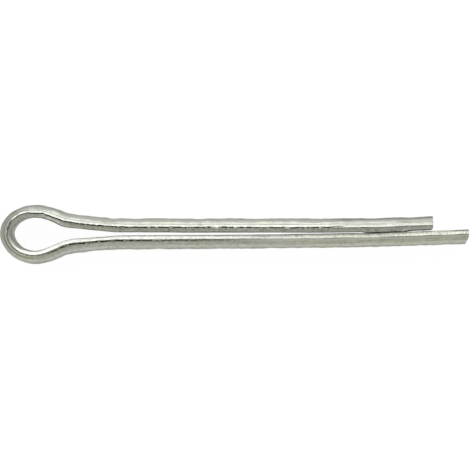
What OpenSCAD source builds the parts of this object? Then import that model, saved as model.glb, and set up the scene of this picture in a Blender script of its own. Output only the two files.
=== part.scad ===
// Split cotter pin, 4 x 40 mm, folded from half-round steel wire.
// It lies flat on z = 0 with its eye towards -X and its tips towards +X.
// The short leg is on the +Y side. The pin's axis runs along X at half the wire's height.
// Sizes are in millimetres and angles in degrees.

/* [Shank] */
// across both legs at the middle of their straight run
shank_diameter = 3.66; // [3.00:0.01:4.40]
// gap between the two flats at the same place
leg_gap = 0.22; // [0.20:0.01:0.40]
// angle that the crown's arc spans in the wire's section
crown_sweep = 137.5; // [130.0:0.5:142.0]
// rounding of the wire's free edges, from the flat up to the crease
edge_radius = 0.62; // [0.40:0.01:0.80]

/* [Eye] */
// inside radius at the eye's nose
nose_radius = 1.48; // [1.20:0.01:1.80]
// inside radius of the eye's flanks
flank_radius = 2.87; // [2.40:0.01:3.50]
// radius of the bend from the neck back into the leg, at the flat
neck_radius = 22; // [18.0:0.5:24.0]

/* [Legs] */
// from the eye's nose to the end of the long leg
overall_length = 56.3; // [50.0:0.1:67.6]
// straight run of each leg after the neck
straight_length = 22.8; // [18.0:0.1:27.4]
// how much shorter the short leg is
leg_step = 4.35; // [2.00:0.05:5.25]
// outward bow of the short leg past its straight run
short_bow_radius = 364; // [340:1:420]
// bow of the long leg, the same way
long_bow_radius = 545; // [460:1:900]

/* [Tips] */
// slope of the bevel on the outer half of the long tip
bevel_slope = 20; // [0:1:30]
// slope of the cut on the short tip
short_cut_slope = 3; // [0:0.5:8]

/* [Hidden] */
$fn = 96;

crown_radius = shank_diameter / 2;
leg_thickness = crown_radius - leg_gap / 2;
half_height = crown_radius * sin(crown_sweep / 2);
crease_depth = crown_radius * cos(crown_sweep / 2) - leg_gap / 2;
edge_arc = tidy(max(edge_radius, crease_depth));
half_flat = tidy(half_height - sqrt(crease_depth * (2 * edge_arc - crease_depth)));

// turns of the bends in each half: half the nose, one flank, and the neck back into the leg
nose_turn = 45.11;
flank_turn = 63.019;
neck_turn = 17.845;

// slope of the neck as it leaves the eye, and what is left of it along the leg
neck_slope = nose_turn + flank_turn - 90;
leg_lean = neck_slope - neck_turn;

nose_x = -overall_length / 2 + leg_thickness + nose_radius;
tip_x = overall_length / 2;
short_tip_x = tip_x - leg_step;

// where the flat's line passes from the flank to the neck, then to the leg
flank_centre_x = nose_x + (flank_radius - nose_radius) * cos(nose_turn);
flank_centre_y = (nose_radius - flank_radius) * sin(nose_turn);
neck_fall = flank_centre_y + flank_radius * cos(neck_slope)
    + neck_radius * (cos(neck_slope) - cos(leg_lean))
    - straight_length / 2 * sin(leg_lean) - leg_gap / 2 * cos(leg_lean);
neck_length = neck_fall / sin(neck_slope);
straight_start_x = flank_centre_x + flank_radius * sin(neck_slope) + neck_length * cos(neck_slope)
    + neck_radius * (sin(neck_slope) - sin(leg_lean));
straight_end_x = straight_start_x + straight_length * cos(leg_lean);
straight_end_y = leg_gap / 2 * cos(leg_lean) - straight_length / 2 * sin(leg_lean);

// turn of each bow, a little past its tip so that the cut trims it
spare = 1;
short_bow_turn = (short_tip_x + spare - straight_end_x) / short_bow_radius * 180 / PI;
long_bow_turn = (tip_x + spare - straight_end_x) / long_bow_radius * 180 / PI;

// middle of the long leg's wire at its tip
long_bow_x = straight_end_x - long_bow_radius * sin(leg_lean);
long_bow_y = straight_end_y - long_bow_radius * cos(leg_lean);
long_flat_y = long_bow_y + sqrt(pow(long_bow_radius, 2) - pow(tip_x - long_bow_x, 2));
long_middle_y = long_flat_y + leg_thickness / 2;

function tidy(v) = round(v * 10000) / 10000;

// Half-round wire: flat on the Y axis, crown towards +X.
// The crown's arc and the rounded free edges meet in a crease.
module wire_section() {
    intersection() {
        translate([leg_thickness - crown_radius, 0]) circle(r = crown_radius);
        union() {
            translate([0, -half_flat]) square([crown_radius * 2, half_flat * 2]);
            translate([edge_arc, -half_flat - edge_arc])
                square([crown_radius * 2, (half_flat + edge_arc) * 2]);
            translate([edge_arc, half_flat]) circle(r = edge_arc);
            translate([edge_arc, -half_flat]) circle(r = edge_arc);
        }
    }
}

// Each length of wire starts at the origin along +X with its crown towards +Y,
// and its children carry on from its far end.
module run(length) {
    rotate([90, 0, 90]) linear_extrude(height = length) wire_section();
    translate([length, 0, 0]) children();
}

module bend_to_flat(radius, turn) {
    translate([0, -radius, 0]) {
        mirror([0, 1, 0]) rotate([0, 0, -90])
            rotate_extrude(angle = turn) translate([radius, 0]) wire_section();
        rotate([0, 0, -turn]) translate([0, radius, 0]) children();
    }
}

module bend_to_crown(radius, turn) {
    translate([0, radius, 0]) {
        rotate([0, 0, -90])
            rotate_extrude(angle = turn) translate([radius, 0]) mirror([1, 0]) wire_section();
        rotate([0, 0, turn]) translate([0, -radius, 0]) children();
    }
}

// From the middle of the nose round the flank and neck and along the straight leg.
module half_pin() {
    translate([nose_x - nose_radius, 0, 0]) rotate([0, 0, 90])
        bend_to_flat(nose_radius, nose_turn)
        bend_to_flat(flank_radius, flank_turn)
        run(neck_length)
        bend_to_crown(neck_radius, neck_turn)
        run(straight_length)
        children();
}

// All that lies past the short leg's slanted cut.
module short_cut() {
    reach = 4;
    lean = reach * tan(short_cut_slope);
    translate([short_tip_x, crown_radius, -reach]) linear_extrude(height = 2 * reach)
        polygon([[0, 0], [lean, reach], [2 * reach, reach], [2 * reach, -reach], [-lean, -reach]]);
}

// All that lies past the long leg's square cut and the bevel on its outer half.
module long_cut() {
    reach = 4;
    lean = reach * tan(bevel_slope);
    translate([tip_x, long_middle_y, -reach]) linear_extrude(height = 2 * reach)
        polygon([[0, 0], [0, -reach], [2 * reach, -reach], [2 * reach, reach], [-lean, reach]]);
}

module cotter_pin() {
    color([0.72, 0.73, 0.70]) translate([0, 0, half_height]) {
        difference() {
            half_pin() bend_to_crown(short_bow_radius, short_bow_turn);
            short_cut();
        }
        mirror([0, 1, 0]) difference() {
            half_pin() bend_to_flat(long_bow_radius, long_bow_turn);
            long_cut();
        }
    }
}

cotter_pin();
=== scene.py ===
# Cotter pin folded from half-round zinc-plated wire, lying on a pale bench.
import bpy
import bmesh
import math
from mathutils import Matrix, Vector, noise


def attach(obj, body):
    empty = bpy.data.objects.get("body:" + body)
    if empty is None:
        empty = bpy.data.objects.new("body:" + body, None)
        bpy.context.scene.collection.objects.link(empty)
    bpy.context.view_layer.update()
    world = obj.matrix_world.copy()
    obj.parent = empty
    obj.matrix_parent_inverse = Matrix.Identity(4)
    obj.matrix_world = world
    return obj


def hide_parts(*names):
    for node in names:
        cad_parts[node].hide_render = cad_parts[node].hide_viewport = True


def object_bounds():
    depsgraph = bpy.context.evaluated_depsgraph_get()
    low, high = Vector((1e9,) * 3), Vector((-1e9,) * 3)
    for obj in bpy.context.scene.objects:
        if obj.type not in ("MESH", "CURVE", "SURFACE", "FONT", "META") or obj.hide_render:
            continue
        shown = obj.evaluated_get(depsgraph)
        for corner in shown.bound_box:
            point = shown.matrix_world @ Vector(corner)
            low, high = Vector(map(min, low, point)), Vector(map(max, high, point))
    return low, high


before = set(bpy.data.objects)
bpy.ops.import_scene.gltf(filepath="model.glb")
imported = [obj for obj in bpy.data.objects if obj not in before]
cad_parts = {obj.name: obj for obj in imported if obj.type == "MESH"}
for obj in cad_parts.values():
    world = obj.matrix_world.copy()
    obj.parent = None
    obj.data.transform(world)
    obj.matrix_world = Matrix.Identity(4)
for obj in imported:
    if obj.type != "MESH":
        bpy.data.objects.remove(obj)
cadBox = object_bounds()
mm = 0.001


class Value:
    # A number in a shader: arithmetic on it adds the math nodes.
    def __init__(self, recipe, socket):
        self.recipe = recipe
        self.socket = socket

    def math(self, operation, first, second):
        settings = {"operation": operation}
        return self.recipe.node("ShaderNodeMath", settings, {0: first, 1: second})

    def __add__(self, other):
        return self.math("ADD", self, other)

    def __radd__(self, other):
        return self.math("ADD", other, self)

    def __sub__(self, other):
        return self.math("SUBTRACT", self, other)

    def __rsub__(self, other):
        return self.math("SUBTRACT", other, self)

    def __mul__(self, other):
        return self.math("MULTIPLY", self, other)

    def __rmul__(self, other):
        return self.math("MULTIPLY", other, self)

    def __abs__(self):
        return self.math("ABSOLUTE", self, 0)


class Recipe:
    # One node tree, emptied and built up node by node.
    def __init__(self, owner):
        owner.use_nodes = True
        self.tree = owner.node_tree
        self.tree.nodes.clear()

    def node(self, kind, settings=None, inputs=None, output=0):
        made = self.tree.nodes.new(kind)
        for name, setting in (settings or {}).items():
            setattr(made, name, setting)
        for name, given in (inputs or {}).items():
            if isinstance(given, Value):
                self.tree.links.new(given.socket, made.inputs[name])
            else:
                made.inputs[name].default_value = given
        return Value(self, made.outputs[output]) if made.outputs else made

    def band(self, value, low, high, toLow=0.0, toHigh=1.0):
        # smooth step of a value between two limits
        return self.node("ShaderNodeMapRange", {"interpolation_type": "SMOOTHSTEP"},
                         {"Value": value, "From Min": low, "From Max": high,
                          "To Min": toLow, "To Max": toHigh})

    def within(self, value, span):
        # 0 to 1 over a span: two numbers are where it starts and where it is full,
        # three are its middle, how far it is full and how far it reaches
        if len(span) == 3:
            middle, full, gone = span
            return self.band(abs(value - middle), full, gone, 1.0, 0.0)
        start, full = span
        if start < full:
            return self.band(value, start, full)
        return self.band(value, full, start, 1.0, 0.0)

    def mixColour(self, factor, first, second):
        return self.node("ShaderNodeMix", {"data_type": "RGBA"},
                         {0: factor, 6: first, 7: second}, output=2)


pin = {
    "shankDiameter": 3.66 * mm,
    "legGap": 0.22 * mm,
    "crownSweep": 137.5,          # degrees that the crown's arc spans in the section
    "lipRadius": 0.20 * mm,       # bend from the flat up to the shoulder of each edge
    "shoulderRadius": 1.06 * mm,
    "shoulderTilt": 44,           # degrees from upright where the shoulder meets the lip
    "noseRadius": 1.48 * mm,
    "noseTurn": 45.11,
    "flankRadius": 2.87 * mm,
    "flankTurn": 63.019,
    "neckTurn": 17.845,
    "neckRadius": 22 * mm,
    "overallLength": 56.3 * mm,
    "straightLength": 22.8 * mm,
    "legStep": 4.24 * mm,
    "shortBowRadius": 364 * mm,
    "longBowRadius": 545 * mm,
    "bevelSlope": 20,
    "shortCutSlope": 3,
    "spare": 1 * mm,              # drawn past each tip, then cut off
    "ringSpacing": 0.12 * mm,     # between rings of the mesh along the wire
    "fineZone": 0.62 * mm,        # crown next to each crease that carries the drawn lines
    "fineSteps": 13,              # points round each part of the section
    "crownSteps": 18,
    "lipSteps": 4,
    "shoulderSteps": 9,
    "flatSteps": 5,
    "tipsFrom": 40 * mm,          # cutting a tip touches no wire nearer the nose than this
    "weld": 0.001 * mm,           # points nearer than this are one
}

wear = {
    "grooveAt": 0.108 * mm,       # groove on the crown's side of each crease
    "grooveHalf": 0.11 * mm,
    "grooveDepth": 0.022 * mm,
    "grooveNose": (1.5, 5.0),     # mm of wire each way over which it is finer round the nose
    "noseCloser": 0.5,            # how much nearer the crease it lies there
    "noseNarrower": 0.42,
    "grooveStray": ((1.1, 0.055), (2.6, 0.045), (5.0, 0.035)),     # turns per mm, mm astray
    # how firm the groove is along the wire, by mm from the middle of the nose
    "grooveFirm": ((-60, 0.05), (-30, 0.08), (-27.5, 0.5), (-24, 0.72), (-20, 0.8), (-17, 1.0),
                   (-12, 1.1), (-9, 1.0), (-7.3, 0.85), (-5.8, 0.4), (-4.8, 0.4), (-3.6, 0.75),
                   (-2.3, 0.9), (-1.4, 0.9), (-0.6, 0.95), (0.3, 0.8), (1.0, 1.0), (10, 1.1),
                   (15, 1.2), (19, 1.1), (27, 1.05), (40.5, 1.0), (43, 0.1), (60, 0.1)),
    "secondAt": 0.46 * mm,        # second groove, where the nose was folded
    "secondHalf": 0.085 * mm,
    "secondDepth": 0.018 * mm,
    "secondFirm": ((-7, 0), (-5, 0.3), (-3.6, 0.5), (-2.3, 1.1), (-1.4, 1.35), (-0.6, 1.0),
                   (0.2, 0.5), (1.4, 0)),
    "drawnLineAt": 0.52 * mm,     # a line drawn into the crown beside each crease
    "drawnLineHalf": 0.07 * mm,
    "drawnLineDepth": 0.009 * mm,
    "faintFrom": -5,              # past here, on the long leg, the drawn line is faint
    "faintShare": 0.3,
    "bellyHeight": 1.7,           # mm above and below mid-height that the belly's waves reach
    "steadyPace": 0.35,           # turns per mm along the wire in the depth of the drawn lines
    "steadiness": (0.75, 0.5),    # that depth's middle and how far it sways
    "waveDepth": (0.014 * mm, 0.045 * mm),    # long soft waves, at the crease and at the belly
    "wavePace": (0.55, 0.3),      # their turns per mm, along the wire and across it
    "rippleDepth": (0.009 * mm, 0.052 * mm),
    "ripplePace": (1.3, 0.9),
    "tipRound": 0.05 * mm,        # rubbed edge round each cut end
    "tipFullness": 0.96,          # 1 would turn the rubbed edge fully square to the end
    "tipCore": 0.8 * mm,          # depth from the flat that the edge is rubbed in towards
    "tipLoops": (0.008, 0.022, 0.045, 0.1, 0.2),
    "tipStain": 0.4 * mm,         # how far the cut's stain reaches along the wire
}

# where the wire lies off its drawn path: mm from the middle of the nose, + along the short leg.
# "out" moves all of the wire towards its crown, "press" only its flat
strain = {
    "eyeSeat": {"at": 0, "hold": 5.2, "reach": 7.8, "out": 0, "press": 0.115},
    "noseTop": {"at": 1.8, "hold": 0.2, "reach": 1.6, "out": -0.05, "press": 0.03},
    "shortShoulder": {"at": 4.1, "hold": 0.3, "reach": 2.3, "out": -0.08, "press": 0.04},
    "shortBulge": {"at": 5.4, "hold": 0.1, "reach": 0.9, "out": -0.03, "press": 0},
    "shortSeat": {"at": 6.6, "hold": 0.5, "reach": 1.9, "out": 0, "press": 0.065},
    "shortDip": {"at": 7.1, "hold": 0.2, "reach": 1.3, "out": 0.06, "press": 0},
    "shortStraight": {"at": 8.9, "hold": 0.2, "reach": 1.2, "out": -0.05, "press": 0},
    "shortNeck": {"at": 11.9, "hold": 0.8, "reach": 3.2, "out": 0.10, "press": 0.05},
    "shortMiddle": {"at": 35.5, "hold": 8, "reach": 12.5, "out": 0.038, "press": 0},
    "noseUnder": {"at": -1.4, "hold": 0.3, "reach": 1.8, "out": -0.07, "press": 0.03},
    "longBulge": {"at": -6.9, "hold": 0.3, "reach": 1.5, "out": 0.06, "press": 0},
    "longDip": {"at": -9.1, "hold": 0.3, "reach": 1.7, "out": -0.09, "press": 0.02},
    "longNeck": {"at": -12.6, "hold": 0.6, "reach": 2.6, "out": 0.05, "press": 0.08},
    "shortInside": {"at": 17, "hold": 4, "reach": 9, "out": 0, "press": 0.035},
    "longInside": {"at": -27, "hold": 12, "reach": 17, "out": 0, "press": 0.03},
    "shortHollow": {"at": 38, "hold": 5.5, "reach": 7.5, "out": 0, "press": 0.02},
    "shortTouch": {"at": 47.1, "hold": 2.0, "reach": 2.9, "out": 0, "press": -0.095},
    "longFull": {"at": -39.5, "hold": 2.5, "reach": 5, "out": 0, "press": -0.04},
    "longTouch": {"at": -47.3, "hold": 1.8, "reach": 2.9, "out": 0, "press": 0.02},
    "shortEnd": {"at": 50, "hold": 7, "reach": 11, "out": 0.004, "press": 0},
    "shortTip": {"at": 53.5, "hold": 2.6, "reach": 5.0, "out": -0.025, "press": 0.14},
    "longEnd": {"at": -55, "hold": 16, "reach": 24, "out": -0.016, "press": 0.005},
}
# how far folding and rolling moved each crease towards the crown, by mm along the wire
creaseOut = ((-60, 0.03), (-47, 0.05), (-43, 0.025), (-37, 0.05), (-29, 0), (-18, -0.012),
             (-9, 0), (-6.5, 0.05), (-4.9, 0.07), (-3.6, 0.09), (-2.3, 0.17), (-1.4, 0.18),
             (-0.6, 0.14), (1.0, 0.12), (1.9, 0.25), (2.9, 0.25), (4.7, 0.05), (5.8, 0.075),
             (6.5, 0.02), (7.1, -0.045), (7.9, -0.02), (8.9, 0.04), (10, 0), (12.3, 0),
             (13.5, 0.045), (14.8, 0.04), (16, -0.012), (27, -0.025), (33, -0.055), (39, -0.045),
             (42, 0.045), (44, 0.055), (47, 0.01), (50, 0.07), (60, 0.07))
creaseReach = {"crown": 1.3, "edge": 0.7}     # mm round the section that a moved crease takes along
# degrees that the wire is turned about itself, its top towards its crown, and where, in mm
twist = {"short": 3.0, "long": -1.2, "nose": 2.5, "begins": 44, "ends": 48.5,
         "noseHold": 0.5, "noseReach": 3.5}


def pinPath(p):
    # The flat's line from the middle of the nose to each tip, as bends and runs.
    crown = p["shankDiameter"] / 2
    thick = crown - p["legGap"] / 2
    sweep = math.radians(p["crownSweep"] / 2)
    half = crown * math.sin(sweep)
    creaseDepth = crown * math.cos(sweep) - p["legGap"] / 2
    noseTurn, flankTurn, neckTurn = [math.radians(p[name])
                                     for name in ("noseTurn", "flankTurn", "neckTurn")]
    slope = noseTurn + flankTurn - math.radians(90)
    lean = slope - neckTurn
    noseX = -p["overallLength"] / 2 + thick + p["noseRadius"]
    swell = p["flankRadius"] - p["noseRadius"]
    fall = (-swell * math.sin(noseTurn) + p["flankRadius"] * math.cos(slope)
            + p["neckRadius"] * (math.cos(slope) - math.cos(lean))
            - p["straightLength"] / 2 * math.sin(lean) - p["legGap"] / 2 * math.cos(lean))
    neck = fall / math.sin(slope)
    startX = (noseX + swell * math.cos(noseTurn) + p["flankRadius"] * math.sin(slope)
              + neck * math.cos(slope) + p["neckRadius"] * (math.sin(slope) - math.sin(lean)))
    endX = startX + p["straightLength"] * math.cos(lean)
    tipX = p["overallLength"] / 2
    shortTipX = tipX - p["legStep"]
    common = [("toFlat", p["noseRadius"], noseTurn),
              ("toFlat", p["flankRadius"], flankTurn),
              ("run", neck, 0),
              ("toCrown", p["neckRadius"], neckTurn),
              ("run", p["straightLength"], 0)]
    shortTurn = (shortTipX + p["spare"] - endX) / p["shortBowRadius"]
    longTurn = (tipX + p["spare"] - endX) / p["longBowRadius"]
    return {"crown": crown, "thick": thick, "half": half, "creaseDepth": creaseDepth,
            "lean": lean, "tipX": tipX, "shortTipX": shortTipX,
            "short": common + [("toCrown", p["shortBowRadius"], shortTurn)],
            "long": common + [("toFlat", p["longBowRadius"], longTurn)]}


def wireSection(bm, p, path, layers):
    # Closed outline of the half-round wire at the nose, crown towards -X, in the XZ plane.
    half, creaseDepth = path["half"], path["creaseDepth"]
    lip, shoulder, tilt = p["lipRadius"], p["shoulderRadius"], math.radians(p["shoulderTilt"])
    lipDepth = lip * (1 - math.sin(tilt))
    creaseTilt = math.asin(math.sin(tilt) - (creaseDepth - lipDepth) / shoulder)
    shoulderRise = shoulder * (math.cos(creaseTilt) - math.cos(tilt))
    halfFlat = half - lip * math.cos(tilt) - shoulderRise
    flatX = -p["overallLength"] / 2 + path["thick"]
    centreDepth = path["thick"] - path["crown"]
    halfSweep = math.radians(p["crownSweep"] / 2)

    def place(depth, height):
        return Vector((flatX - depth, 0, half + height))

    def arc(start, centre, spans):
        last = bmesh.ops.create_vert(bm, co=start)["vert"]
        for turn, steps in spans:
            made = bmesh.ops.spin(bm, geom=last, cent=centre, axis=(0, 1, 0), angle=turn,
                                  steps=steps, use_duplicate=False)
            last = [g for g in made["geom_last"] if isinstance(g, bmesh.types.BMVert)]

    fine = p["fineZone"] / path["crown"]
    arc(place(creaseDepth, -half), place(centreDepth, 0),
        [(fine, p["fineSteps"]), (2 * halfSweep - 2 * fine, p["crownSteps"]),
         (fine, p["fineSteps"])])
    for side in (1, -1):
        arc(place(0, side * halfFlat), place(lip, side * halfFlat),
            [(-side * (math.pi / 2 - tilt), p["lipSteps"])])
        lipTop = halfFlat + lip * math.cos(tilt)
        centre = place(lipDepth + shoulder * math.sin(tilt),
                       side * (lipTop - shoulder * math.cos(tilt)))
        arc(place(lipDepth, side * lipTop), centre,
            [(-side * (tilt - creaseTilt), p["shoulderSteps"])])
    first = bmesh.ops.create_vert(bm, co=place(0, -halfFlat))["vert"]
    bmesh.ops.spin(bm, geom=first, cent=(0, 0, 0), axis=(0, 1, 0), angle=0,
                   steps=p["flatSteps"], dvec=(0, 0, 2 * halfFlat / p["flatSteps"]))
    bmesh.ops.remove_doubles(bm, verts=bm.verts[:], dist=p["weld"])
    # how far each point lies round the section from its crease: + on the crown, - on the edge
    for v in bm.verts:
        depth, height = flatX - v.co.x, v.co.z - half
        if depth >= creaseDepth - p["weld"] / 10:
            girth = path["crown"] * (halfSweep - abs(math.atan2(height, depth - centreDepth)))
        else:
            girth = -math.hypot(depth - creaseDepth, abs(height) - half)
        v[layers["place"]] = Vector((0, depth, height))
        v[layers["girth"]] = girth
        v[layers["crownWay"]] = Vector((-1, 0, 0))


def sweepHalf(bm, p, path, steps, ring, side, layers):
    # Carry the ring along one half of the pin; side is 1 for the short leg, -1 for the long one.
    here = Vector((-p["overallLength"] / 2 + path["thick"], 0, path["half"]))
    heading = Vector((0, side, 0))
    up = Vector((0, 0, 1))
    station = 0.0
    for kind, size, turn in steps:
        outward = Vector((-heading.y, heading.x, 0)) * side
        before = len(bm.verts)
        if kind == "run":
            count = max(1, round(size / p["ringSpacing"]))
            made = bmesh.ops.spin(bm, geom=ring, cent=(0, 0, 0), axis=up, angle=0, steps=count,
                                  dvec=heading * (size / count), use_duplicate=False)
            bm.verts.ensure_lookup_table()
            for v in bm.verts[before:]:
                v[layers["place"]].x = side * (station + (v.co - here).dot(heading))
                v[layers["crownWay"]] = outward
            here = here + heading * size
            length = size
        else:
            bend = 1 if kind == "toCrown" else -1
            centre = here + outward * size * bend
            length = (size - bend * path["thick"] / 2) * turn
            signed = turn * side * bend
            count = max(2, round(length / p["ringSpacing"]))
            made = bmesh.ops.spin(bm, geom=ring, cent=centre, axis=up, angle=signed, steps=count,
                                  use_duplicate=False)
            start = (here - centre).normalized()
            across = up.cross(start) * (1 if signed > 0 else -1)
            bm.verts.ensure_lookup_table()
            for v in bm.verts[before:]:
                arm = v.co - centre
                angle = math.atan2(arm.dot(across), arm.dot(start))
                v[layers["place"]].x = side * (station + length * angle / turn)
                v[layers["crownWay"]] = Vector((arm.x, arm.y, 0)).normalized() * -bend
            turned = Matrix.Rotation(signed, 3, "Z")
            here = centre + turned @ (here - centre)
            heading = turned @ heading
        station += length
        ring = [e for e in made["geom_last"] if isinstance(e, bmesh.types.BMEdge)]
    return station


def trimTip(bm, p, layers, side, point, normal):
    # Cut a leg's end off at a plane, close it, and add loops where its rim is rubbed round.
    def legEnd():
        chosen = {v for v in bm.verts if side * v[layers["place"]].x > p["tipsFrom"]}
        return (list(chosen) + [e for e in bm.edges if chosen.issuperset(e.verts)]
                + [f for f in bm.faces if chosen.issuperset(f.verts)])

    cut = bmesh.ops.bisect_plane(bm, geom=legEnd(), dist=p["weld"] / 2, plane_co=point,
                                 plane_no=normal, clear_outer=True)
    rim = [e for e in cut["geom_cut"] if isinstance(e, bmesh.types.BMEdge) and e.is_boundary]
    cap = bmesh.ops.edgeloop_fill(bm, edges=rim)["faces"]
    bmesh.ops.recalc_face_normals(bm, faces=cap)
    for back in wear["tipLoops"]:
        sides = [g for g in legEnd() if g not in cap]
        bmesh.ops.bisect_plane(bm, geom=sides, dist=p["weld"] / 2,
                               plane_co=point - normal * back * mm, plane_no=normal)
    for v in bm.verts:
        place = v[layers["place"]]
        if side * place.x < p["tipsFrom"]:
            continue
        back = (point - v.co).dot(normal)
        v[layers["cut"]] = max(v[layers["cut"]], 1 - back / wear["tipStain"])
        if back < wear["tipRound"]:
            short = wear["tipRound"] - max(0.0, back)
            kept = wear["tipRound"] ** 2 - short ** 2 * wear["tipFullness"]
            radial = v[layers["crownWay"]] * (place.y - wear["tipCore"]) + Vector((0, 0, place.z))
            v.co -= radial.normalized() * (wear["tipRound"] - math.sqrt(kept))
    for face in cap:
        face.smooth = False


def longTipFlat(p, path):
    # y of the long leg's flat at its tip
    lean = path["lean"]
    startY = -(p["legGap"] / 2 * math.cos(lean) - p["straightLength"] / 2 * math.sin(lean))
    radius, turn = path["long"][-1][1:]
    run = turn * radius - p["spare"]
    return startY + run * math.tan(lean) + run * run / (2 * radius)


def smooth(share):
    return share * share * (3 - 2 * share)


def ease(gap, hold, reach):
    # 1 inside hold, falling smoothly to 0 at reach
    return smooth(min(1.0, max(0.0, (reach - abs(gap)) / (reach - hold))))


def alongWire(marks, station):
    # value at a station, read between the marks on either side of it
    if station <= marks[0][0]:
        return marks[0][1]
    for (start, low), (end, high) in zip(marks, marks[1:]):
        if station <= end:
            return low + (high - low) * smooth((station - start) / (end - start))
    return marks[-1][1]


def bendOff(bm, path, layers):
    # Move the wire off its drawn path where bending and handling left it.
    for v in bm.verts:
        station, depth, height = v[layers["place"]]
        station /= mm
        out = press = 0.0
        for part in strain.values():
            share = ease(station - part["at"], part["hold"], part["reach"])
            out += share * part["out"] * mm
            press += share * part["press"] * mm
        press *= max(0.0, 1 - depth / path["creaseDepth"])
        girth = v[layers["girth"]] / mm
        reach = creaseReach["crown" if girth > 0 else "edge"]
        crease = alongWire(creaseOut, station) * ease(girth, 0, reach) * mm
        turned = 1 - ease(station, twist["begins"], twist["ends"])
        turned *= twist["short" if station > 0 else "long"]
        turned += twist["nose"] * ease(station, twist["noseHold"], twist["noseReach"])
        angle = math.radians(turned)
        arm = depth - path["thick"] + path["crown"]
        shift = arm * (math.cos(angle) - 1) + height * math.sin(angle)
        rise = height * (math.cos(angle) - 1) - arm * math.sin(angle)
        v.co += v[layers["crownWay"]] * (out + press + crease + shift) + Vector((0, 0, rise))


def dip(off):
    # depth of a drawn groove, full in its middle and nothing one half-width away
    return max(0.0, 1 - off * off) ** 2


def between(depths, share):
    return depths[0] + (depths[1] - depths[0]) * share


def wearSurface(bm, layers):
    # Lines drawn along the wire, the groove in its crease and its soft waves.
    w = wear
    steadyMiddle, sway = w["steadiness"]
    waveLong, waveRound = w["wavePace"]
    rippleLong, rippleRound = w["ripplePace"]
    bm.normal_update()
    moves = []
    for v in bm.verts:
        place, girth = v[layers["place"]] / mm, v[layers["girth"]]
        stray = sum(size * noise.noise(Vector((place.x * pace, 5 if place.z > 0 else -5, pace)))
                    for pace, size in w["grooveStray"]) * mm
        nose = ease(place.x, *w["grooveNose"])
        grooveAt = w["grooveAt"] * (1 - w["noseCloser"] * nose)
        seam = (girth - stray - grooveAt) / (w["grooveHalf"] * (1 - w["noseNarrower"] * nose))
        firm = alongWire(w["grooveFirm"], place.x)
        second = alongWire(w["secondFirm"], place.x)
        v[layers["seam"]] = Vector((seam, firm, second))
        groove = dip(seam) * min(1.0, firm)
        line = dip((girth - w["drawnLineAt"]) / w["drawnLineHalf"])
        line *= 1 if place.x > w["faintFrom"] else w["faintShare"]
        fold = dip((girth - stray * 0.5 - w["secondAt"]) / w["secondHalf"]) * second
        steady = steadyMiddle + sway * noise.noise(
            Vector((place.x * w["steadyPace"], 4.0, place.z)))
        wave = noise.noise(
            Vector((place.x * waveLong, place.y * waveRound, place.z * waveRound + 7)))
        ripple = noise.noise(
            Vector((place.x * rippleLong, place.y * rippleRound + 3, place.z * rippleRound)))
        belly = max(0.0, 1 - (place.z / w["bellyHeight"]) ** 2) if girth > 0 else 0.0
        moves.append(steady * (w["grooveDepth"] * groove + w["drawnLineDepth"] * line)
                     + w["secondDepth"] * fold + between(w["waveDepth"], belly) * wave
                     + between(w["rippleDepth"], belly) * ripple)
    for v, sunk in zip(bm.verts, moves):
        v.co -= v.normal * sunk


def buildPin(p, path):
    bm = bmesh.new()
    layers = {"place": bm.verts.layers.float_vector.new("wirePlace"),
              "girth": bm.verts.layers.float.new("creaseGirth"),
              "cut": bm.verts.layers.float.new("cutNear"),
              "seam": bm.verts.layers.float_vector.new("seamWay"),
              "crownWay": bm.verts.layers.float_vector.new("crownWay")}
    wireSection(bm, p, path, layers)
    print("section of", len(bm.verts), "points")
    ring = bm.edges[:]
    for name, side in (("short", 1), ("long", -1)):
        length = sweepHalf(bm, p, path, path[name], ring, side, layers)
        print(name, "leg swept,", round(length / mm, 2), "mm from the nose")
    for face in bm.faces:
        face.smooth = True
    bmesh.ops.recalc_face_normals(bm, faces=bm.faces[:])
    bendOff(bm, path, layers)
    wearSurface(bm, layers)
    print("wire bent off and worn")
    cutSlope, bevel = math.radians(p["shortCutSlope"]), math.radians(p["bevelSlope"])
    trimTip(bm, p, layers, 1, Vector((path["shortTipX"], path["crown"], 0)),
            Vector((math.cos(cutSlope), -math.sin(cutSlope), 0)))
    trimTip(bm, p, layers, -1, Vector((path["tipX"], 0, 0)), Vector((1, 0, 0)))
    bevelStart = longTipFlat(p, path) - path["thick"] / 2
    trimTip(bm, p, layers, -1, Vector((path["tipX"], bevelStart, 0)),
            Vector((math.cos(bevel), -math.sin(bevel), 0)))
    print("tips cut")
    bm.verts.layers.float_vector.remove(layers["crownWay"])
    for v in bm.verts:
        v.co = [min(max(c, low), high) for c, low, high in zip(v.co, *cadBox)]
    bmesh.ops.recalc_face_normals(bm, faces=bm.faces[:])
    return bm


path = pinPath(pin)
bm = buildPin(pin, path)
mesh = bpy.data.meshes.new("pinWire")
bm.to_mesh(mesh)
print("pin mesh", len(mesh.vertices), "points,", sum(len(f.vertices) - 2 for f in mesh.polygons),
      "triangles, open edges", sum(1 for e in bm.edges if not e.is_manifold))
bm.free()
pinPiece = bpy.data.objects.new("pinWire", mesh)
bpy.context.scene.collection.objects.link(pinPiece)
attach(pinPiece, "root")
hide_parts("cotter_pin")

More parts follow.
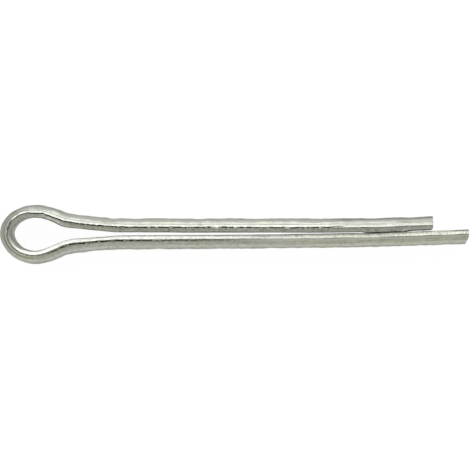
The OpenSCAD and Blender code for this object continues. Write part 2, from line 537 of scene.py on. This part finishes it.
zinc = {
    "colour": (0.508, 0.524, 0.466, 1),
    "warmColour": (0.52, 0.51, 0.40, 1),
    # darker colour for streaks, scuffs and stains, and for painted shade
    "darkColour": (0.16, 0.165, 0.135, 1),
    # near black: painted shade in the creases, under the fold and where the legs touch
    "creaseShadeColour": (0.018, 0.019, 0.010, 1),
    "bentColour": (0.378, 0.366, 0.315, 1),
    "cutColour": (0.27, 0.265, 0.235, 1),
    "polishedAndLit": (0.74, 0.75, 0.70, 1),     # edges that were rubbed bright, and painted highlights
    "tarnish": (0.36, 0.37, 0.22, 1),
    "grazing": (0.8, 0.8, 0.78, 1),
    # how much each thing darkens the plate; the fold's rim takes painted shadow, and the band
    # beside the second groove, below 0, a painted highlight
    "shade": {"overall": 0.07, "streaks": 0.34, "mottle": 0.6, "speckle": 1.1, "scuffs": 0.45,
              "edgeScuffs": 0.6, "ticks": 1.5, "grit": 1.3, "nicks": 0.20, "foldRim": 0.65,
              "foldHighlight": -0.45},
    # how much each roughens it; rolling left the flat duller than the crown
    "rough": {"overall": 0.13, "mottle": 0.10, "streaks": 0.10, "crease": 0.30, "bent": 0.12,
              "flat": 0.30, "dull": 0.24, "shortEnd": 0.07, "shortTipRim": 0.4, "cut": 0.25},
    # how much each raises it, as a share of the streaks' depth
    "relief": {"longStreak": 0.50, "fineStreak": 0.35, "rollMarks": 0.05, "crease": -0.5,
               "nicks": -0.25},
    # how strongly each covers what is under it
    "cover": {"patches": 0.35, "warmEnd": 0.4, "bent": 0.8, "tarnish": 0.35, "secondLine": 0.95,
              "foldShadow": 0.4, "stain": 0.8, "tipShade": 0.9, "crease": 0.97, "touchShadow": 0.95},
    # levels of the noise over which each starts and is full
    "levels": {"longStreak": (0.33, 0.67), "fineStreak": (0.3, 0.7), "line": (0.35, 0.6),
               "patches": (0.45, 0.75), "stain": (0.35, 0.75), "nicks": (0.62, 0.72),
               "seam": (0.37, 0.50)},
    "streakDepth": 0.032 * mm,
    "grainDepth": 0.0035 * mm,
    "grit": 2.5,                  # how much deeper the grain is where the long leg's edge is dull
    "dullAtTip": 0.35,            # how dull that edge still is at the tip
    "lineAt": 0.55,               # mm from the crease to the drawn line
    "longLineShift": 0.12,        # and how much farther it is on the long leg
    "lineEdge": (0.024, 0.112),   # mm to each side of it: full, gone
    "lineStrength": {"overall": 0.62, "bent": 0.25, "short": 0.2, "long": -0.6, "shortEnd": -0.75},
    "lineLeft": 0.5,              # how much of it is left where it is faintest
    "seamEdge": (0.48, 1.05),     # half-widths of the crease's groove: dark line full, gone
    "seamWander": 2.2,            # how unevenly wide the crease's dark line is
    "seamLeft": 0.25,             # how much of it is left in a break
    "wholeSteadies": 0.6,         # where the crease is whole: how much steadier its line is,
    "wholeFills": 0.24,           # and how far its breaks close; farther on they close less
    "firmFills": 0.12,
    "rimNarrower": 0.11,          # mm that the rim under the fold narrows by
    # the stain is strongest on the belly and weakest on the crown
    "stainBelly": 0.6,
    "stainCrown": -0.5,
    # nearness to the cut, 1 at the cut itself, over which its stain and bare steel start
    "stainNear": (0.2, 1.0),
    "cutNear": (0.965, 0.995),
}

# noise that follows the wire: waves per mm along it and across it, detail, shift, roughness
patterns = {
    "longStreak": (0.16, 5.0, 2, 0.0, 0.5),
    "fineStreak": (0.55, 11, 2, 7.3, 0.5),
    "mottle": (1.6, 1.6, 4, 3.1, 0.5),
    "grain": (9, 9, 3, 5.7, 0.6),
    "patches": (0.22, 0.5, 2, 11.9, 0.5),
    "rollMarks": (6, 0.6, 2, 2.4, 0.5),
    "breaks": (2.1, 0.1, 4, 17.0, 0.8),
    "ticks": (4.2, 1.7, 3, 61.0, 0.6),
    "speckle": (3.0, 8.0, 3, 41.0, 0.75),
    "scuffs": (5.5, 3.5, 2, 53.0, 0.5),
    "nicks": (2.6, 3.4, 2, 31.0, 0.5),
}

# bands round the section, in mm from the crease: + on the crown, - on the edge below it.
# two numbers are where a band starts and where it is full; three are its middle, how far
# it is full and how far it reaches
across = {
    "crown": (0.5, 0.7),
    "belly": (1.15, 1.65),
    "edge": (0.05, -0.1),
    "aboveEdge": (-0.1, 0.05),
    "rim": (-0.25, -0.52),
    "lowRim": (-0.38, -0.56),
    "lip": (-0.53, -0.64),
    "towardsFlat": (-0.15, -0.45),
    "foldRim": (-0.28, -0.40),
    "tipShade": (-0.32, -0.5),
    "foldHighlight": (0.27, 0.05, 0.12),
    "secondLine": (0.46, 0.05, 0.13),
    "tarnish": (0.95, 0.2, 0.7),
    "foldGlow": (-0.13, 0.09, 0.16),
    "creaseHighlightBand": (0.06, 0.08, 0.26),
}
# places along the wire, in mm from the middle of the nose: + on the short leg, - on the long
along = {
    "shortLeg": (2, 4),
    "shortEnd": (39, 43),
    "longLeg": (-4, -6),
    "longEnd": (-28, -35),
    "bent": (0, 1.6, 3.6),            # the nose, where the wire was bent hardest
    "underFold": (-4.2, 2.6, 5),
    "foldShadow": (-3.8, 1.2, 3),
    "rimNarrows": (-2.4, -3.8),
    "tarnish": (-3.6, 0.3, 1.0),
    "wholeCrease": (6.2, 2.8, 4.2),
    "firmCrease": (14, 1.2, 3),
    "ticks": (9, 14),
    "rougher": (22, 36),
    "dull": (-21, -34),
    "warm": (-30, -44),
    "touch": (46.9, 1.6, 2.3),        # on either leg
    "beforeTip": (-53, -47),
    "tipShade": (-54.2, -55.8),
}
# darker places (+) and lighter ones (-): how much, and where. Those marked below are painted shade
# and painted highlights.
tones = {
    # painted shade along the belly
    "belly": {"by": 0.26, "across": across["belly"], "along": []},
    "towardsFlat": {"by": -0.06, "across": across["towardsFlat"], "along": []},
    # painted shade round the eye: its belly, its crown and the nose's rim
    "eyeBelly": {"by": 0.24, "across": across["belly"], "along": [(5, 2, 5)]},
    "eyeCrown": {"by": 0.16, "across": across["crown"], "along": [(1.9, 0.8, 2.2)]},
    "noseRim": {"by": 0.25, "across": across["rim"], "along": [along["bent"]]},
    # painted highlights on the nose, under the fold and along the short leg's crown
    "noseGlow": {"by": -0.45, "across": (0.27, 0.10, 0.24), "along": [(1.7, 1.0, 2.2)]},
    "foldGlow": {"by": -0.40, "across": across["foldGlow"], "along": [along["underFold"]]},
    "shortGlow": {"by": -0.16, "across": (0.93, 0.08, 0.28), "along": [along["shortLeg"]]},
    # painted shade on the short leg's belly and crown near its end, with a painted highlight
    # between
    "shortEndBelly": {"by": 0.54, "across": (0.98, 1.45), "along": [along["shortEnd"]]},
    "shortEndGlow": {"by": -0.10, "across": (0.75, 0.12, 0.3), "along": [along["shortEnd"]]},
    "shortEndShade": {"by": 0.26, "across": (0.4, 0.12, 0.26), "along": [along["shortEnd"]]},
    # painted shade on the long leg's crown and belly
    "longCrown": {"by": 0.03, "across": across["crown"], "along": [along["longLeg"]]},
    "longBelly": {"by": 0.05, "across": across["belly"], "along": [along["longLeg"]]},
    "longLine": {"by": 0.10, "across": (0.68, 0.1, 0.22), "along": [along["longLeg"]]},
    # painted highlight along the long leg's crown
    "longGlow": {"by": -0.10, "across": (1.06, 0.04, 0.22), "along": [along["longLeg"]]},
    # painted shade on the long leg's lower rim towards its end
    "longEndRim": {"by": 0.36, "across": across["lowRim"], "along": [(-30, -37), (-46, -41)]},
    "longTipRim": {"by": 0.04, "across": across["lowRim"], "along": [(-30, -37)]},
    "longEndEdge": {"by": 0.12, "across": across["edge"], "along": [(-40, -46)]},
    # painted highlight beside the long leg's crease
    "longCreaseHighlight": {"by": -0.25, "across": across["creaseHighlightBand"], "along": [along["longEnd"]]},
}
# places painted lighter: rims rubbed bright, partly painted light, and painted highlights beside
# the long leg's crease and under the fold
rubsAndHighlights = {
    "eyeRim": {"by": 0.7, "across": across["rim"], "along": [(-13, 6, 14)]},
    "shortEndRim": {"by": 0.4, "across": across["rim"], "along": [(37.5, 5, 9)]},
    "shortTipRim": {"by": 1.0, "across": across["rim"], "along": [(51.6, 2.2, 3.2)]},
    "longCreaseHighlight": {"by": 0.5, "across": across["creaseHighlightBand"], "along": [along["longEnd"]]},
    "foldGlow": {"by": 0.6, "across": across["foldGlow"],
                 "along": [along["underFold"], (-1.5, 1.0, 2.4)]},
}
# places where the plate's mottling and scuffs are weaker
calms = {
    "shortCrown": {"by": 0.5, "across": across["crown"], "along": [along["shortLeg"]]},
    "shortEnd": {"by": 0.6, "across": across["aboveEdge"], "along": [along["shortEnd"]]},
    "foldEdge": {"by": 0.5, "across": across["edge"], "along": [(-3.4, 2.6, 5)]},
}


def wireNoise(r, place, lengthways, crossways, detail, shift, rough):
    spread = r.node("ShaderNodeVectorMath", {"operation": "MULTIPLY"},
                    {0: place, 1: (lengthways / mm, crossways / mm, crossways / mm)})
    moved = r.node("ShaderNodeVectorMath", {"operation": "ADD"},
                   {0: spread, 1: (shift, shift, -shift)})
    return r.node("ShaderNodeTexNoise", {"noise_dimensions": "3D"},
                  {"Vector": moved, "Scale": 1.0, "Detail": detail, "Roughness": rough})


def zincPlate(z):
    material = bpy.data.materials.new("zincPlate")
    r = Recipe(material)
    place = r.node("ShaderNodeAttribute", {"attribute_name": "wirePlace"}, output=1)
    station = r.node("ShaderNodeSeparateXYZ", {}, {0: place}) * (1 / mm)
    girth = r.node("ShaderNodeAttribute", {"attribute_name": "creaseGirth"}, output=2) * (1 / mm)
    cutNear = r.node("ShaderNodeAttribute", {"attribute_name": "cutNear"}, output=2)
    seamWay = r.node("ShaderNodeAttribute", {"attribute_name": "seamWay"}, output=1)
    seamOff, firm, second = [r.node("ShaderNodeSeparateXYZ", {}, {0: seamWay}, output=axis)
                             for axis in range(3)]
    noises = {name: wireNoise(r, place, *pattern) for name, pattern in patterns.items()}
    fineStreak, mottle, speckle = noises["fineStreak"], noises["mottle"], noises["speckle"]

    def part(mark):
        share = r.within(girth, mark["across"])
        for span in mark["along"]:
            share = share * r.within(station, span)
        return share

    crown, belly, edge = [r.within(girth, across[name]) for name in ("crown", "belly", "edge")]
    onShort, shortEnd, onLong, bent, underFold = [
        r.within(station, along[name])
        for name in ("shortLeg", "shortEnd", "longLeg", "bent", "underFold")]
    beforeTip = r.within(station, along["beforeTip"])
    dull = (r.within(station, along["dull"])
            * (z["dullAtTip"] + (1 - z["dullAtTip"]) * beforeTip))
    gritty = dull * edge

    # painted shade in the grooves: the dark line in each crease, the second one under the nose, and
    # the drawn line
    levels, breaks = z["levels"], noises["breaks"]
    whole = r.within(station, along["wholeCrease"])
    wander = z["seamWander"] * (1 - z["wholeSteadies"] * whole) * (breaks - 0.5)
    seam = r.band(abs(seamOff) - wander, *z["seamEdge"], 1.0, 0.0)
    filled = (breaks + z["wholeFills"] * whole
              + z["firmFills"] * r.within(station, along["firmCrease"]))
    crease = seam * r.band(filled, *levels["seam"], z["seamLeft"], 1.0) * firm
    secondLine = r.within(girth, across["secondLine"]) * second
    lineOff = abs(girth - z["lineAt"] - z["longLineShift"] * onLong)
    strength = z["lineStrength"]
    drawnLine = (r.band(lineOff, *z["lineEdge"], 1.0, 0.0)
                 * (strength["overall"] + strength["bent"] * bent + strength["short"] * onShort)
                 * (1 + strength["long"] * onLong) * (1 + strength["shortEnd"] * shortEnd)
                 * r.band(fineStreak, *levels["line"], z["lineLeft"], 1.0))
    # painted shadow where the legs touch near their ends
    touchShadow = r.within(girth, across["lip"]) * r.within(abs(station), along["touch"])
    # painted shadow on the rim under the fold
    rimAt = girth + z["rimNarrower"] * r.within(station, along["rimNarrows"])
    foldRim = r.within(rimAt, across["foldRim"]) * underFold
    foldShadow = foldRim * r.within(station, along["foldShadow"])

    calm = 1
    for mark in calms.values():
        calm = calm * (1 - mark["by"] * part(mark))
    streaks = 0.5 * (r.band(noises["longStreak"], *levels["longStreak"])
                     + r.band(fineStreak, *levels["fineStreak"]))
    nick = r.band(noises["nicks"], *levels["nicks"])
    by = z["shade"]
    shade = (by["overall"] + by["streaks"] * (1 - streaks) + by["nicks"] * nick
             + calm * (by["mottle"] * (mottle - 0.5) + by["speckle"] * (speckle - 0.5)
                       + (by["scuffs"] + by["edgeScuffs"] * edge) * (noises["scuffs"] - 0.5))
             + by["ticks"] * edge * r.within(station, along["ticks"]) * (noises["ticks"] - 0.5)
             + by["grit"] * gritty * (speckle - 0.5)
             # painted shadow under the fold and a painted highlight beside its groove
             + by["foldRim"] * foldRim
             + by["foldHighlight"] * second * r.within(girth, across["foldHighlight"]))
    for mark in tones.values():
        shade = shade + mark["by"] * part(mark)
    rubbedAndLit = 0
    for mark in rubsAndHighlights.values():
        rubbedAndLit = rubbedAndLit + mark["by"] * part(mark)

    cover = z["cover"]
    warmth = (cover["patches"] * r.band(noises["patches"], *levels["patches"])
              + cover["warmEnd"] * r.within(station, along["warm"]))
    tarnish = r.within(station, along["tarnish"]) * r.within(girth, across["tarnish"])
    cutFace = r.band(cutNear, *z["cutNear"])
    stainLevel = fineStreak + z["stainBelly"] * belly + z["stainCrown"] * crown
    stain = r.band(cutNear, *z["stainNear"]) * r.band(stainLevel, *levels["stain"])
    # painted shade on the rim at the long leg's tip
    tipShade = r.within(girth, across["tipShade"]) * r.within(station, along["tipShade"])
    colour = z["colour"]
    # coats over the plate's colour: the shade coat holds real streaks and marks and painted shade,
    # the bright coat painted highlights, and the near-black coat painted shade in creases, under
    # the fold and where the legs touch
    for share, coat in (
            (warmth, "warmColour"),
            (cover["bent"] * bent * crown, "bentColour"),
            (shade, "darkColour"),
            (cover["tarnish"] * tarnish, "tarnish"),
            (rubbedAndLit, "polishedAndLit"),
            (drawnLine, "darkColour"),
            (cover["secondLine"] * secondLine, "darkColour"),
            (cover["foldShadow"] * foldShadow, "creaseShadeColour"),
            (cover["stain"] * stain + cover["tipShade"] * tipShade, "darkColour"),
            ((cover["crease"] * crease + cover["touchShadow"] * touchShadow) * (1 - cutFace),
             "creaseShadeColour"),
            (cutFace, "cutColour")):
        colour = r.mixColour(share, colour, z[coat])

    by = z["rough"]
    roughness = (by["overall"] + by["mottle"] * (mottle - 0.5)
                 + by["streaks"] * (fineStreak - 0.5) + by["crease"] * crease
                 + by["bent"] * bent * crown + by["dull"] * dull * (1 - crown)
                 + by["flat"] * r.within(girth, across["towardsFlat"])
                 + by["shortEnd"] * r.within(station, along["rougher"])
                 + by["shortTipRim"] * part(rubsAndHighlights["shortTipRim"]) + by["cut"] * cutFace)
    by = z["relief"]
    height = (by["longStreak"] * noises["longStreak"] + by["fineStreak"] * fineStreak
              + by["rollMarks"] * noises["rollMarks"] + by["crease"] * crease
              + by["nicks"] * nick)
    streakBump = r.node("ShaderNodeBump", {}, {"Height": height, "Distance": z["streakDepth"],
                                               "Strength": 1.0})
    grainBump = r.node("ShaderNodeBump", {},
                       {"Height": noises["grain"] * (1 + z["grit"] * gritty), "Strength": 1.0,
                        "Distance": z["grainDepth"], "Normal": streakBump})
    shader = r.node("ShaderNodeBsdfPrincipled", {},
                    {"Base Color": colour, "Metallic": 1.0, "Roughness": roughness,
                     "Specular Tint": z["grazing"], "Normal": grainBump})
    r.node("ShaderNodeOutputMaterial", {}, {"Surface": shader})
    return material


mesh.materials.append(zincPlate(zinc))
print("zinc plate made")

bench = {"size": 1.6, "glow": 0.965, "paper": (0.9, 0.9, 0.9, 1), "dim": (0.055, 0.055, 0.055, 1)}


def makeFloor(b):
    # White paper: a camera, metal and glass see it lit evenly, with the pin's shadow on it.
    floorBm = bmesh.new()
    bmesh.ops.create_grid(floorBm, x_segments=1, y_segments=1, size=b["size"])
    floorMesh = bpy.data.meshes.new("benchFloor")
    floorBm.to_mesh(floorMesh)
    floorBm.free()
    floor = bpy.data.objects.new("benchFloor", floorMesh)
    bpy.context.scene.collection.objects.link(floor)
    paper = bpy.data.materials.new("whitePaper")
    r = Recipe(paper)
    camera, glossy, through = [
        r.node("ShaderNodeLightPath", {}, {}, output=name)
        for name in ("Is Camera Ray", "Is Glossy Ray", "Is Transmission Ray")]
    plain = r.node("ShaderNodeBsdfDiffuse", {}, {"Color": b["paper"]})
    dim = r.node("ShaderNodeBsdfDiffuse", {}, {"Color": b["dim"]})
    glow = r.node("ShaderNodeEmission", {}, {"Color": (1, 1, 1, 1), "Strength": b["glow"]})
    white = r.node("ShaderNodeAddShader", {}, {0: dim, 1: glow})
    shown = r.node("ShaderNodeMixShader", {}, {0: camera + glossy + through, 1: plain, 2: white})
    r.node("ShaderNodeOutputMaterial", {}, {"Surface": shown})
    floorMesh.materials.append(paper)


tent = {
    "horizon": 1.0,
    "high": 0.64,         # level well above the horizon
    "overhead": 0.20,     # where the camera and its stand keep the light out
    "eyeDrop": 0.30,      # darker towards the eye's end of the pin
    "tipDrop": 0.08,
    # heights, from 0 at the horizon to 1 overhead, over which the levels change
    "rise": (0.08, 0.55),
    "cap": (0.90, 0.975),
    "dropStarts": (0.02, 0.2),
    "dropEases": (0.35, 0.55),
    "dropLeft": 0.4,              # how much of the drop at the ends is left higher up
    "endways": (0.25, 0.8),       # from square across the pin to 1 straight along it
    "toneAcross": (-0.5, 0.3),    # from the warm side to the cool one
    "warm": (1.0, 0.99, 0.935, 1),
    "cool": (1.0, 1.0, 1.0, 1),
}


def makeTent(t):
    world = bpy.data.worlds.new("lightTent")
    bpy.context.scene.world = world
    r = Recipe(world)
    way = r.node("ShaderNodeTexCoord", {}, {}, output="Generated")
    endways, sideways, upward = [r.node("ShaderNodeSeparateXYZ", {}, {0: way}, output=axis)
                                 for axis in range(3)]
    level = (t["horizon"] - (t["horizon"] - t["high"]) * r.band(upward, *t["rise"])
             - (t["high"] - t["overhead"]) * r.band(upward, *t["cap"]))
    drop = (t["eyeDrop"] * r.band(-1 * endways, *t["endways"])
            + t["tipDrop"] * r.band(endways, *t["endways"]))
    level = level * (1 - drop * r.band(upward, *t["dropStarts"])
                     * r.band(upward, *t["dropEases"], 1.0, t["dropLeft"]))
    tone = r.mixColour(r.band(sideways, *t["toneAcross"]), t["warm"], t["cool"])
    sky = r.node("ShaderNodeBackground", {}, {"Color": tone, "Strength": level})
    r.node("ShaderNodeOutputWorld", {}, {"Surface": sky})


# each panel's middle and height in degrees from straight up, its turn from +Y towards +X,
# its width in metres and its brightness
lamps = {
    "key": {"angle": 51.75, "spread": 31.5, "turn": 5, "width": 1.1, "level": 1.88},
    "wall": {"angle": 81.5, "spread": 22, "turn": 8, "width": 0.72, "level": 1.30},
    "side": {"angle": 50, "spread": 19, "turn": -115, "width": 0.52, "level": 0.95},
}
lampReach = 420 * mm
lampColour = (0.985, 1.0, 1.045)


def hangLamp(name, lamp):
    light = bpy.data.lights.new(name, "AREA")
    light.shape = "RECTANGLE"
    light.color = lampColour
    tall = 2 * lampReach * math.tan(math.radians(lamp["spread"] / 2))
    light.size, light.size_y = lamp["width"], tall
    light.energy = math.pi * lamp["level"] * lamp["width"] * tall
    holder = bpy.data.objects.new(name, light)
    angle, turn = math.radians(lamp["angle"]), math.radians(lamp["turn"])
    holder.location = Vector((math.sin(angle) * math.sin(turn), math.sin(angle) * math.cos(turn),
                              math.cos(angle))) * lampReach
    holder.rotation_euler = (-holder.location).to_track_quat("-Z", "Y").to_euler()
    bpy.context.scene.collection.objects.link(holder)


makeFloor(bench)
makeTent(tent)
for name, lamp in lamps.items():
    hangLamp(name, lamp)
print("floor, tent and lamps set")

view = {"centre": (0.129 * mm, -0.156 * mm), "distance": 350 * mm, "frameWidth": 56.56 * mm,
        "roll": -0.12, "sensor": 36, "clipStart": 0.01}
camera = bpy.data.cameras.new("overhead")
camera.sensor_width = view["sensor"]
camera.lens = view["sensor"] * view["distance"] / view["frameWidth"]
camera.clip_start = view["clipStart"]
cameraHolder = bpy.data.objects.new("overhead", camera)
cameraHolder.location = (*view["centre"], view["distance"] + path["half"])
cameraHolder.rotation_euler = (0, 0, math.radians(view["roll"]))
bpy.context.scene.collection.objects.link(cameraHolder)
bpy.context.scene.camera = cameraHolder
bpy.context.scene.view_settings.view_transform = "Standard"
print("camera set")
